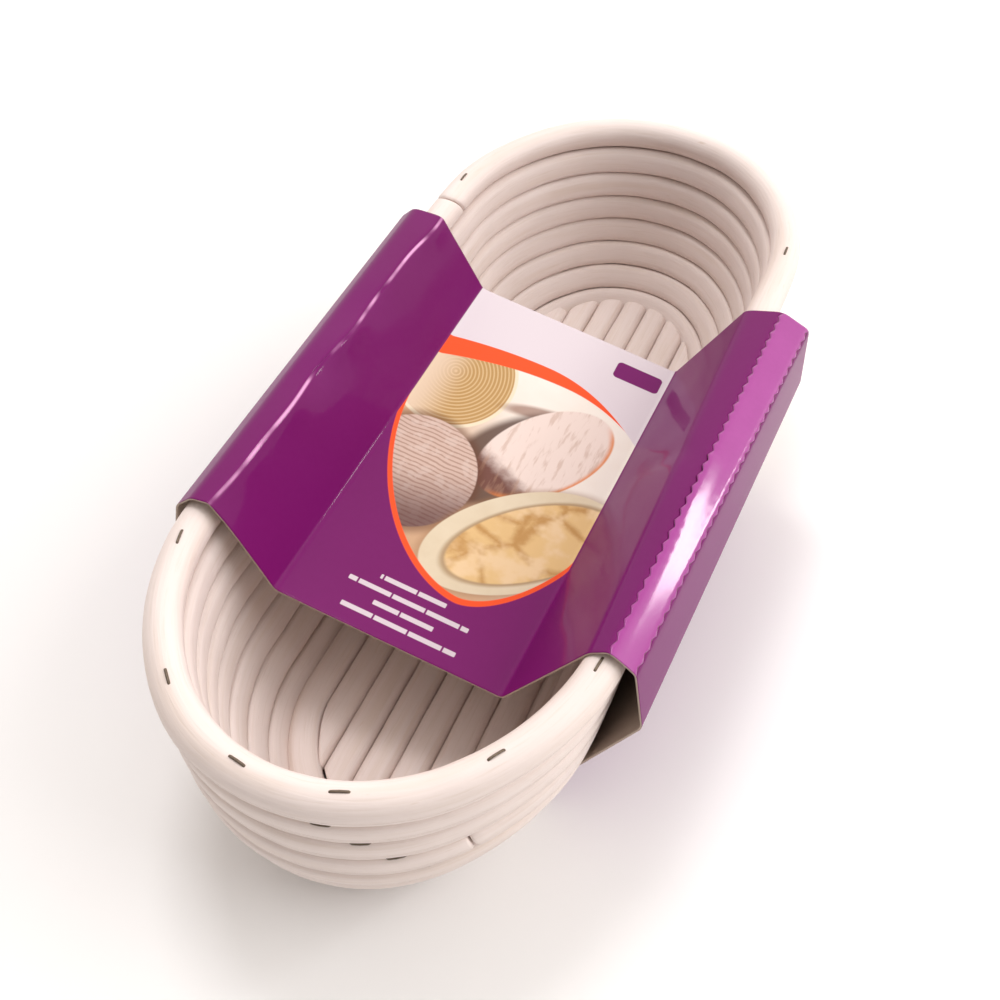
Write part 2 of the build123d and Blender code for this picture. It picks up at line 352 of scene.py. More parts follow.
def base_canes():
    """Straight canes of the base, and the leftmost one that curls round the near end."""
    lowest_low, lowest_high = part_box(f"wall_course_{COURSES}")
    cad_radius = (lowest_high.z - lowest_low.z) / MM / 2
    floor_inset = HALF_WIDTH - lowest_high.x / MM + 2 * cad_radius + 0.1
    straight_low, straight_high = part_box("base_cane_4")
    level = (straight_low.z + straight_high.z) / MM / 2
    cad_base_radius = (straight_high.z - straight_low.z) / MM / 2
    curl_inset = floor_inset + cad_base_radius
    tail_inset = curl_inset + cad_base_radius + 0.1
    for number in range(2, 8):
        low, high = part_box(f"base_cane_{number}")
        middle = (low.x + high.x) / MM / 2
        cut = tail_inset if number <= 3 else floor_inset

        def place(fraction, middle=middle, cut=cut):
            sideways, _, _ = cane_section(1.0, BASE_FLATNESS, fraction.shape[1])
            x = middle + BASE_RADIUS * sideways
            near = -floor_end(cut, x, NEAR_STRETCH)
            far = floor_end(floor_inset, x, 0)
            y = near + (far - near) * fraction / STRAIGHT_DIVIDED
            return np.full_like(y, middle), y, np.zeros_like(y), level

        piece = cane_mesh(f"base_cane_{number}_straight", 40 + number, place,
                          STRAIGHT_DIVIDED, BASE_RADIUS, BASE_FLATNESS)
        finish_piece(piece, f"base_cane_{number}", cane_material, "basket")

    shoulder = SHOULDER_RADIUS - curl_inset
    nose = NOSE_RADIUS - curl_inset
    bend = math.radians(CURL_END_TURN) - NOSE_TURN
    curl_x = -(HALF_WIDTH - curl_inset)
    bend_y = -SHOULDER_Y - NEAR_STRETCH
    far_y = bend_y + CURL_LENGTH
    straight = CURL_LENGTH - CURL_TRIM
    total = straight + shoulder * NOSE_TURN + nose * bend

    def curl(distance):
        on_shoulder = np.clip((distance - straight) / shoulder, 0, NOSE_TURN)
        on_nose = np.clip((distance - straight - shoulder * NOSE_TURN) / nose, 0, None)
        outward = math.pi + on_shoulder + on_nose
        along = np.minimum(distance, straight)
        x = np.full_like(distance, curl_x)
        y = far_y - CURL_TRIM - along
        first = (distance > straight) & (on_nose <= 0)
        x = np.where(first, -SHOULDER_X + shoulder * np.cos(outward), x)
        y = np.where(first, bend_y + shoulder * np.sin(outward), y)
        x = np.where(on_nose > 0, nose * np.cos(outward), x)
        y = np.where(on_nose > 0, -NOSE_Y - NEAR_STRETCH + nose * np.sin(outward), y)
        return x, y, outward, level

    piece = cane_mesh("base_cane_1_curled", 41, curl, total, BASE_RADIUS, BASE_FLATNESS)
    finish_piece(piece, "base_cane_1", cane_material, "basket")


# ---------------------------------------------------------------- staples
# how far below its top a CAD staple still counts as its crown, mm
CROWN_DEPTH = 0.9


def staple_places(node):
    """Centre of the crown, direction along it and direction away from the legs, for each staple."""
    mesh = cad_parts[node].data
    points = np.array([v.co for v in mesh.vertices]) / MM
    keys = {}
    merged = np.zeros(len(points), dtype=int)
    for index, point in enumerate(np.round(points, 3)):
        merged[index] = keys.setdefault(tuple(point), len(keys))
    group = np.arange(len(keys))

    def root(index):
        while group[index] != index:
            group[index] = group[group[index]]
            index = group[index]
        return index

    for edge in mesh.edges:
        group[root(merged[edge.vertices[0]])] = root(merged[edge.vertices[1]])
    owner = np.array([root(index) for index in merged])
    places = []
    for name in np.unique(owner):
        cloud = points[owner == name]
        level_offsets = (cloud - cloud.mean(0)) * (1, 1, 0)
        if node == "rim_staples":
            away = np.array([0.0, 0.0, 1.0])
        elif node == "base_staples":
            away = np.array([0.0, 0.0, -1.0])
        else:
            axes = np.linalg.svd(level_offsets)[2]
            away = outward_of(cloud, axes[:2])
        reach = cloud @ away
        top = cloud[reach > reach.max() - CROWN_DEPTH]
        spread = top - top.mean(0)
        spread = spread - np.outer(spread @ away, away)
        axes = np.linalg.svd(spread)[2]
        places.append((top.mean(0), axes[0], away))
    return places


def outward_of(cloud, axes):
    """Of the two level axes of a U-shaped staple, the one its legs run along, pointing outwards."""
    best = None
    for axis in axes:
        for sign in (1, -1):
            direction = axis * sign
            reach = cloud @ direction
            crown = cloud[reach > reach.max() - CROWN_DEPTH]
            lean = crown.mean(0) @ direction - cloud.mean(0) @ direction
            evenness = len(crown) / len(cloud)
            outward = direction @ np.array([cloud.mean(0)[0], cloud.mean(0)[1], 0])
            score = (outward > 0) * (1 + evenness + lean * 0.01)
            if best is None or score > best[0]:
                best = (score, direction)
    return best[1]


def wire_staple(centre, along, away, half_crown=2.6, leg=4.5, wire=0.38):
    """Points and faces of one flattened wire staple with rounded corners."""
    bend = 0.9
    path = [(-half_crown, -leg)]
    for angle in np.linspace(math.pi, math.pi / 2, 5):
        path.append((-half_crown + bend + bend * math.cos(angle), -bend + bend * math.sin(angle)))
    path.append((0, 0.12))
    for angle in np.linspace(math.pi / 2, 0, 5):
        path.append((half_crown - bend + bend * math.cos(angle), -bend + bend * math.sin(angle)))
    path.append((half_crown, -leg))
    path = np.array(path)
    side = np.cross(along, away)
    points = []
    around = 8
    for index, (a, b) in enumerate(path):
        ahead = path[min(index + 1, len(path) - 1)] - path[max(index - 1, 0)]
        ahead = ahead / np.linalg.norm(ahead)
        out = along * -ahead[1] + away * ahead[0]
        for turn in np.linspace(0, 2 * math.pi, around, endpoint=False):
            points.append(centre + along * a + away * b
                          + out * wire * 0.62 * math.cos(turn) + side * wire * math.sin(turn))
    faces = grid_faces(len(path), around, wrap=True)
    faces.append(tuple(range(around)))
    faces.append(tuple(len(points) - 1 - step for step in range(around)))
    return np.array(points), faces


def staple_set(node, sink):
    """All the staples of one CAD node as one piece, pressed into the cane by sink.

    A negative sink brings the crowns out to the skin of the thicker visual canes.
    """
    all_points = []
    all_faces = []
    for centre, along, away in staple_places(node):
        jitter = Matrix.Rotation(rng.uniform(-0.09, 0.09), 3, Vector(away))
        points, faces = wire_staple(centre - away * sink, np.array(jitter @ Vector(along)), away)
        start = sum(len(block) for block in all_points)
        all_points.append(points)
        all_faces += [tuple(start + index for index in face) for face in faces]
    piece = make_mesh(f"{node}_wire", np.vstack(all_points), all_faces)
    return finish_piece(piece, node, staple_material, "basket")


# ---------------------------------------------------------------- card
def folded_line(folds, segment=3.0):
    """Places along the folds, evenly spaced on the flats and stepped round each corner.

    A place on a flat is (flat's number, share of the way, None). A place round a corner is
    (number of the flat before it, share of the way round, the shares of both flats where the
    rounding starts and ends).
    """
    places = []
    last_flat = len(folds) - 2
    for index in range(last_flat + 1):
        reach = math.dist(folds[index][0], folds[index + 1][0])
        first = FOLD_RADIUS / reach if index else 0.0
        last = 1 - FOLD_RADIUS / reach if index < last_flat else 1.0
        count = max(int(reach / segment), 2)
        for step in range(count + 1):
            places.append((index, first + (last - first) * step / count, None))
        if index < last_flat:
            next_reach = math.dist(folds[index + 1][0], folds[index + 2][0])
            for step in range(1, CORNER_STEPS):
                places.append((index, step / CORNER_STEPS, (last, FOLD_RADIUS / next_reach)))
    return places


def line_at(folds, places, end):
    """The rounded line's points in one section; end is 0 at the near end and 1 at the far end."""
    corners = np.array([np.array(near) * (1 - end) + np.array(far) * end for near, far in folds])
    line = []
    for index, share, corner in places:
        if corner is None:
            line.append(corners[index] * (1 - share) + corners[index + 1] * share)
            continue
        before = corners[index] * (1 - corner[0]) + corners[index + 1] * corner[0]
        after = corners[index + 1] * (1 - corner[1]) + corners[index + 2] * corner[1]
        line.append(before * (1 - share) ** 2 + corners[index + 1] * 2 * share * (1 - share)
                    + after * share ** 2)
    return np.array(line)


def corner_middle(places, index):
    """Which place lies halfway round the corner after flat number index."""
    for number, (flat, share, corner) in enumerate(places):
        if corner is not None and flat == index and abs(share - 0.5) < 0.01:
            return number
    raise ValueError("the corner has no middle place")


def tear_edge(sheet, along, edge, first):
    """Shift the card near one long edge along its own surface, so that the edge is toothed."""
    ordered = sheet if first else sheet[:, ::-1]
    steps = np.diff(ordered, axis=1)
    reach = np.linalg.norm(steps, axis=-1)
    from_edge = np.concatenate([np.zeros((len(sheet), 1)), np.cumsum(reach, axis=1)], axis=1)
    inward = np.concatenate([steps, steps[:, -1:]], axis=1)
    inward /= np.linalg.norm(inward, axis=-1, keepdims=True)
    amount = edge(along)[:, None] * np.clip(1 - from_edge / TOOTH_FADE, 0, 1)
    shift = inward * amount[:, :, None]
    return sheet + (shift if first else shift[:, ::-1])


def card_piece(name, folds, bulge, edges, print_side):
    """Sheet of card along the folds: printed face first, unprinted face behind, joined at the edges.

    The first and last flats belong to the neighbouring cards, so this card stops halfway round
    the corners that it shares with them.
    """
    places = folded_line(folds)
    along = np.linspace(SLEEVE_NEAR, SLEEVE_FAR, TEETH * STEPS_PER_TOOTH + 1)
    rows = len(along)
    sheet = np.zeros((rows, len(places), 3))
    for row, end in enumerate(np.linspace(0, 1, rows)):
        section = line_at(folds, places, end)
        sheet[row, :, 0] = section[:, 0]
        sheet[row, :, 1] = along[row] + math.tan(SLEEVE_TURN) * section[:, 0]
        sheet[row, :, 2] = section[:, 1]
    uv = np.stack([sheet[:, :, 0], np.broadcast_to(along[:, None], sheet.shape[:2])], axis=-1)
    sheet = bulge(sheet, uv)
    normal = np.cross(np.gradient(sheet, axis=1), np.gradient(sheet, axis=0))
    normal /= np.linalg.norm(normal, axis=-1, keepdims=True)
    first = corner_middle(places, 0)
    last = corner_middle(places, len(folds) - 3) + 1
    sheet = sheet[:, first:last]
    normal = normal[:, first:last]
    uv = uv[:, first:last]
    for edge, is_first in zip(edges, (True, False)):
        if edge is not None:
            sheet = tear_edge(sheet, along, edge, is_first)
    printed = sheet + normal * CARD / 2
    plain = sheet - normal * CARD / 2
    points = np.concatenate([printed.reshape(-1, 3), plain.reshape(-1, 3)])
    columns = sheet.shape[1]
    front = grid_faces(rows, columns, wrap=False)
    offset = rows * columns
    back = [tuple(offset + index for index in reversed(face)) for face in front]
    border = [(0, column) for column in range(columns)]
    border += [(row, columns - 1) for row in range(1, rows)]
    border += [(rows - 1, column) for column in range(columns - 2, -1, -1)]
    border += [(row, 0) for row in range(rows - 2, 0, -1)]
    loop = [row * columns + column for row, column in border]
    rim = []
    for here, there in zip(loop, loop[1:] + loop[:1]):
        rim.append((there, here, offset + here, offset + there))
    flat_uv = uv.reshape(-1, 2)
    piece = make_mesh(name, points, front + back + rim, np.concatenate([flat_uv, flat_uv]))
    piece.data.materials.append(print_side)
    piece.data.materials.append(card_board)
    slots = np.zeros(len(piece.data.polygons), dtype=np.int32)
    slots[len(front):] = 1
    piece.data.polygons.foreach_set("material_index", slots)
    smooth = np.ones(len(piece.data.polygons), dtype=bool)
    smooth[len(front) + len(back):] = False
    piece.data.polygons.foreach_set("use_smooth", smooth)
    return piece


def crest_waver(sheet, uv):
    """The pressed crease along the left crest wanders from side to side and dips in places."""
    along = uv[:, :, 1]
    crest_x, crest_z = LEFT_CREST[0]
    away = np.hypot(sheet[:, :, 0] - crest_x, sheet[:, :, 2] - crest_z)
    near_crest = np.exp(-(away / 5.5) ** 2)
    sheet[:, :, 0] += 1.2 * smooth_noise(61, 60, along, 2) * near_crest
    sheet[:, :, 2] += (0.5 * smooth_noise(62, 48, along, 2) - 0.3) * near_crest
    return sheet


def flap_waver(sheet, uv):
    """Soft buckles in the slopes and the panel, dying out at the torn edge, and a right-hand dent."""
    along = uv[:, :, 1]
    across = uv[:, :, 0]
    inside = np.clip((52 - across) / 10, 0, 1) * np.clip((across - LEFT_CREST[0][0]) / 8, 0, 1)
    buckle = (smooth_noise(71, 70, along + 0.9 * across, 2)
              + 0.8 * smooth_noise(72, 55, along - 1.3 * across, 2))
    on_slope = np.clip((np.abs(across + 1.5) - 33) / 8, 0.25, 1)
    sheet[:, :, 2] += 0.38 * buckle * inside * on_slope
    right_dent = np.exp(-((across - 50) / 7) ** 2 - ((along + 9 + 0.55 * (across - 50)) / 5) ** 2)
    sheet[:, :, 2] -= 0.9 * right_dent
    return crest_waver(sheet, uv)


def strip_bend(sheet, uv):
    """The strip bows up a little along its near half, ending in a crease where it was pressed."""
    along = uv[:, :, 1]
    across = (uv[:, :, 0] - RIGHT_CREST[0][0]) / (RIGHT_SHOULDER[0][0] - RIGHT_CREST[0][0])
    ridge = np.clip(1 - np.abs(2 * across - 0.9), 0, 1)
    lifted = 1 / (1 + np.exp((along + 14) / 0.7))
    fading = np.clip((along - SLEEVE_NEAR) / 60, 0.25, 1)
    sheet[:, :, 2] += ridge * (0.1 + 0.5 * lifted * fading)
    return sheet


def teeth(side):
    """Zigzag of a perforated edge: how far the card's edge stands back at each place along it."""
    def stand_back(along):
        phase = (along - SLEEVE_NEAR) / (SLEEVE_FAR - SLEEVE_NEAR) * TEETH % 1.0
        return side * TOOTH_DEPTH * (abs(2 * phase - 1) - 0.5) + 0.03
    return stand_back


# ---------------------------------------------------------------- materials
# power of the window's outline: 2 is an ellipse, less is a more pointed oval
POINTED = 1.75


class Nodes:
    """Builds one material's node tree with short calls."""

    def __init__(self, name):
        self.material = bpy.data.materials.new(name)
        self.material.use_nodes = True
        self.tree = self.material.node_tree
        self.shader = self.tree.nodes["Principled BSDF"]

    def add(self, kind, inputs=None, **settings):
        node = self.tree.nodes.new(kind)
        for key, value in settings.items():
            setattr(node, key, value)
        for key, value in (inputs or {}).items():
            self.put(node.inputs[key], value)
        return node

    def put(self, socket, value):
        if hasattr(value, "is_output"):
            self.tree.links.new(value, socket)
        elif isinstance(value, (tuple, list)) and len(value) == 3 and socket.type == "RGBA":
            socket.default_value = (*value, 1.0)
        else:
            socket.default_value = value

    def maths(self, operation, first, second=0.0, third=None):
        inputs = {0: first, 1: second}
        if third is not None:
            inputs[2] = third
        return self.add("ShaderNodeMath", inputs, operation=operation).outputs[0]

    def noise(self, vector, scale, detail=3.0, roughness=0.55):
        node = self.add("ShaderNodeTexNoise", {"Vector": vector, "Scale": scale, "Detail": detail,
                                               "Roughness": roughness})
        return node.outputs["Fac"]

    def stretch(self, vector, scale):
        return self.add("ShaderNodeMapping", {"Vector": vector, "Scale": scale}).outputs[0]

    def ramp(self, factor, low, high):
        """0 below low, 1 above high, smooth between."""
        node = self.add("ShaderNodeMapRange", {0: factor, 1: low, 2: high}, interpolation_type="SMOOTHSTEP")
        return node.outputs[0]

    def mix(self, factor, first, second):
        node = self.add("ShaderNodeMix", data_type="RGBA")
        self.put(node.inputs[0], factor)
        self.put(node.inputs[6], first)
        self.put(node.inputs[7], second)
        return node.outputs[2]

    def ellipse(self, across, along, centre, reach, turn=0.0):
        """1 on the outline of an ellipse, less inside it; turn is in radians."""
        sideways = self.maths("SUBTRACT", across, centre[0])
        lengthways = self.maths("SUBTRACT", along, centre[1])
        first = self.maths("ADD", self.maths("MULTIPLY", sideways, math.cos(turn) / reach[0]),
                           self.maths("MULTIPLY", lengthways, math.sin(turn) / reach[0]))
        second = self.maths("SUBTRACT", self.maths("MULTIPLY", lengthways, math.cos(turn) / reach[1]),
                            self.maths("MULTIPLY", sideways, math.sin(turn) / reach[1]))
        squares = self.maths("ADD", self.maths("MULTIPLY", first, first),
                             self.maths("MULTIPLY", second, second))
        return self.maths("SQRT", squares)

    def egg(self, across, along, centre, reach_left, reach_right, reach_down):
        """1 on the outline of a pointed oval, less inside; above its centre the sides are straight."""
        beside = self.maths("SUBTRACT", across, centre[0])
        left = self.maths("MULTIPLY", self.maths("MINIMUM", beside, 0.0), -1 / reach_left)
        right = self.maths("MULTIPLY", self.maths("MAXIMUM", beside, 0.0), 1 / reach_right)
        below = self.maths("MULTIPLY", self.maths("SUBTRACT", centre[1], along), 1 / reach_down)
        total = self.maths("POWER", self.maths("MAXIMUM", below, 0.0), POINTED)
        total = self.maths("ADD", total, self.maths("POWER", self.maths("ADD", left, right), POINTED))
        return self.maths("POWER", total, 1 / POINTED)

    def arc(self, across, peak, height, left_drop, right_drop):
        """Height of a lopsided arch at each place across."""
        beside = self.maths("SUBTRACT", across, peak)
        left = self.maths("MINIMUM", beside, 0.0)
        right = self.maths("MAXIMUM", beside, 0.0)
        drop = self.maths("ADD", self.maths("MULTIPLY", self.maths("MULTIPLY", left, left), left_drop),
                          self.maths("MULTIPLY", self.maths("MULTIPLY", right, right), right_drop))
        return self.maths("SUBTRACT", height, drop)

    def rounded_box(self, across, along, centre, half):
        """1 inside a box with rounded corners, 0 outside."""
        beyond = []
        for value, middle, reach in zip((across, along), centre, half):
            out = self.maths("SUBTRACT", self.maths("ABSOLUTE", self.maths("SUBTRACT", value, middle)),
                             reach - half[1] * 0.4)
            beyond.append(self.maths("MAXIMUM", out, 0.0))
        gap = self.maths("SQRT", self.maths("ADD", self.maths("MULTIPLY", beyond[0], beyond[0]),
                                            self.maths("MULTIPLY", beyond[1], beyond[1])))
        return self.ramp(gap, half[1] * 0.4 + 0.1, half[1] * 0.4 - 0.1)

    def bump(self, height, strength, distance, normal=None):
        inputs = {"Height": height, "Strength": strength, "Distance": distance}
        if normal is not None:
            inputs["Normal"] = normal
        return self.add("ShaderNodeBump", inputs).outputs[0]

    def finish(self, **sockets):
        for key, value in sockets.items():
            self.put(self.shader.inputs[key.replace("_", " ")], value)
        return self.material


ORANGE_INK = (0.87, 0.085, 0.018)
HEADER_WHITE = (0.70, 0.62, 0.66)


def rattan_material():
    """Pale peeled cane: long fibres, faint darker streaks, a few tan flecks and painted shade in the
    grooves where canes touch.
    """
    m = Nodes("pale_rattan")
    uv = m.add("ShaderNodeUVMap").outputs[0]
    place = m.add("ShaderNodeTexCoord").outputs["Object"]
    fibres = m.noise(m.stretch(uv, (0.05, 2.2, 1.0)), 1.0, 6.0, 0.65)
    bands = m.noise(m.stretch(uv, (0.012, 0.35, 1.0)), 1.0, 3.0)
    clouds = m.noise(place, 22.0, 2.0)
    flecks = m.ramp(m.noise(m.stretch(uv, (0.11, 0.9, 1.0)), 1.0, 2.0), 0.70, 0.80)
    base = m.mix(clouds, (0.79, 0.675, 0.63), (0.845, 0.745, 0.71))
    base = m.mix(m.maths("MULTIPLY", m.ramp(bands, 0.45, 0.75), 0.35), base, (0.68, 0.54, 0.43))
    base = m.mix(m.maths("MULTIPLY", m.ramp(fibres, 0.50, 0.72), 0.28), base, (0.62, 0.49, 0.38))
    base = m.mix(m.maths("MULTIPLY", flecks, 0.30), base, (0.55, 0.38, 0.24))
    turn = m.maths("MULTIPLY", m.add("ShaderNodeSeparateXYZ", {0: uv}).outputs[1], 1 / ANGLE_TO_UV)
    from_contact = m.maths("ABSOLUTE", m.maths("SINE", turn))
    # painted shade: dark brown along the lines where a cane touches its neighbours, standing in for the
    # shadow in the groove between canes
    painted_groove_shade = m.ramp(m.maths("MULTIPLY_ADD", bands, 0.05, from_contact), 0.20, 0.05)
    base = m.mix(m.maths("MULTIPLY", painted_groove_shade, 0.85), base, (0.30, 0.165, 0.09))
    normal = m.bump(fibres, 0.35, 0.0004)
    normal = m.bump(bands, 0.25, 0.0008, normal)
    return m.finish(Base_Color=base, Roughness=0.62, Normal=normal)


def steel_material():
    """Dull grey-brown staple wire."""
    m = Nodes("dull_staple_wire")
    place = m.add("ShaderNodeTexCoord").outputs["Object"]
    grime = m.noise(place, 900.0, 3.0)
    colour = m.mix(grime, (0.045, 0.033, 0.024), (0.24, 0.18, 0.13))
    return m.finish(Base_Color=colour, Metallic=0.6, Roughness=m.maths("MULTIPLY_ADD", grime, 0.3, 0.3))


def board_material():
    """Unprinted back and cut edges of the card."""
    m = Nodes("unprinted_board")
    place = m.add("ShaderNodeTexCoord").outputs["Object"]
    fibre = m.noise(place, 700.0, 4.0)
    mottle = m.noise(place, 60.0, 2.0)
    colour = m.mix(mottle, (0.42, 0.33, 0.27), (0.52, 0.43, 0.36))
    colour = m.mix(m.maths("MULTIPLY", fibre, 0.3), colour, (0.30, 0.23, 0.18))
    return m.finish(Base_Color=colour, Roughness=0.8, Normal=m.bump(fibre, 0.25, 0.0002))


def purple_ink(m, ink, cloud):
    """Plain magenta-purple print, a little uneven."""
    purple = m.mix(cloud, (0.148, 0.0025, 0.094), (0.182, 0.0045, 0.132))
    return m.mix(m.maths("MULTIPLY", ink, 0.10), purple, (0.26, 0.025, 0.22))


def strip_material():
    """Glossy card of the tear strip, in a brighter magenta than the rest of the sleeve: partly its own
    brighter ink, partly painted sheen.
    """
    m = Nodes("tear_strip_card")
    place = m.add("ShaderNodeTexCoord").outputs["Object"]
    ink = m.noise(place, 500.0, 4.0)
    # partly the strip's own brighter magenta ink and partly painted sheen, lighter than the sleeve's purple
    bright_ink_and_painted_sheen = m.mix(m.noise(place, 30.0, 2.0), (0.31, 0.022, 0.235), (0.42, 0.055, 0.33))
    colour = m.mix(m.maths("MULTIPLY", ink, 0.2), bright_ink_and_painted_sheen, purple_ink(m, ink, ink))
    return m.finish(Base_Color=colour, Roughness=0.38, Specular_IOR_Level=0.2, Coat_Weight=0.7,
                    Coat_Roughness=0.12, Coat_IOR=1.5, Normal=m.bump(ink, 0.05, 0.0001))


def print_material():
    """Glossy magenta-purple card with a white header, an orange swoosh, a picture of loaves and a painted
    highlight along the left crest crease.
    """
    m = Nodes("printed_card")
    place = m.add("ShaderNodeTexCoord").outputs["Object"]
    uv = m.add("ShaderNodeSeparateXYZ", {0: m.add("ShaderNodeUVMap").outputs[0]})
    across = uv.outputs[0]
    along = uv.outputs[1]
    ink = m.noise(place, 500.0, 4.0)
    cloud = m.noise(place, 14.0, 2.0)
    purple = purple_ink(m, ink, cloud)

    right_edge = m.maths("MULTIPLY_ADD", along, 0.0216, 34.36)
    on_panel = m.maths("MULTIPLY", m.ramp(across, -38.8, -38.5),
                       m.ramp(m.maths("SUBTRACT", right_edge, across), -0.1, 0.2))
    swoosh_top = m.arc(across, -3.0, 33.8, 0.0036, 0.0124)
    swoosh_bottom = m.arc(across, 5.0, 28.2, 0.0046, 0.0124)
    above_top = m.ramp(m.maths("SUBTRACT", along, swoosh_top), -0.2, 0.2)
    above_bottom = m.ramp(m.maths("SUBTRACT", along, swoosh_bottom), -0.2, 0.2)
    window = m.egg(across, along, (8.0, 3.0), 47.0, 34.0, 70.0)
    in_window = m.ramp(window, 1.004, 0.996)
    in_outline = m.ramp(window, 1.036, 1.028)

    colour = m.mix(in_outline, purple, ORANGE_INK)
    colour = m.mix(in_window, colour, loaf_picture(m, across, along, place))
    colour = m.mix(above_bottom, colour, ORANGE_INK)
    colour = m.mix(above_top, colour, HEADER_WHITE)
    tag = m.rounded_box(across, along, (24.8, 46.8), (8.2, 4.0))
    colour = m.mix(tag, colour, purple)
    colour = m.mix(m.maths("SUBTRACT", 1.0, on_panel), colour, purple)
    colour = m.mix(m.maths("MULTIPLY", caption_bars(m, across, along), 0.9), colour, HEADER_WHITE)
    # painted highlight: a thin light pink line along the left crest crease, broken up by noise, standing in
    # for light catching the crease
    painted_crease_highlight = m.ramp(m.maths("ABSOLUTE", m.maths("ADD", across, -LEFT_CREST[0][0])), 0.6, 0.15)
    crease_highlight_breaks = m.ramp(m.noise(place, 45.0, 2.0), 0.40, 0.60)
    colour = m.mix(m.maths("MULTIPLY", painted_crease_highlight, crease_highlight_breaks), colour, (0.78, 0.36, 0.64))
    normal = m.bump(ink, 0.05, 0.0001)
    return m.finish(Base_Color=colour, Roughness=0.42, Specular_IOR_Level=0.08, Coat_Weight=0.26,
                    Coat_Roughness=0.07, Coat_IOR=1.4, Normal=normal)


def caption_bars(m, across, along):
    """Four short rows of plain white bars where the card carries its caption."""
    bars = 0.0
    rows = ((-4.0, 10.5, -71.5), (-3.5, 19.0, -76.0), (-3.0, 9.5, -80.5), (-2.5, 18.0, -85.0))
    for middle, half, row in rows:
        bar = m.rounded_box(across, along, (middle, row), (half, 0.8))
        wave = m.maths("SINE", m.maths("MULTIPLY_ADD", across, 0.29, row))
        gap = m.ramp(m.maths("ABSOLUTE", wave), 0.05, 0.12)
        bars = m.maths("MAXIMUM", bars, m.maths("MULTIPLY", bar, gap))
    return bars


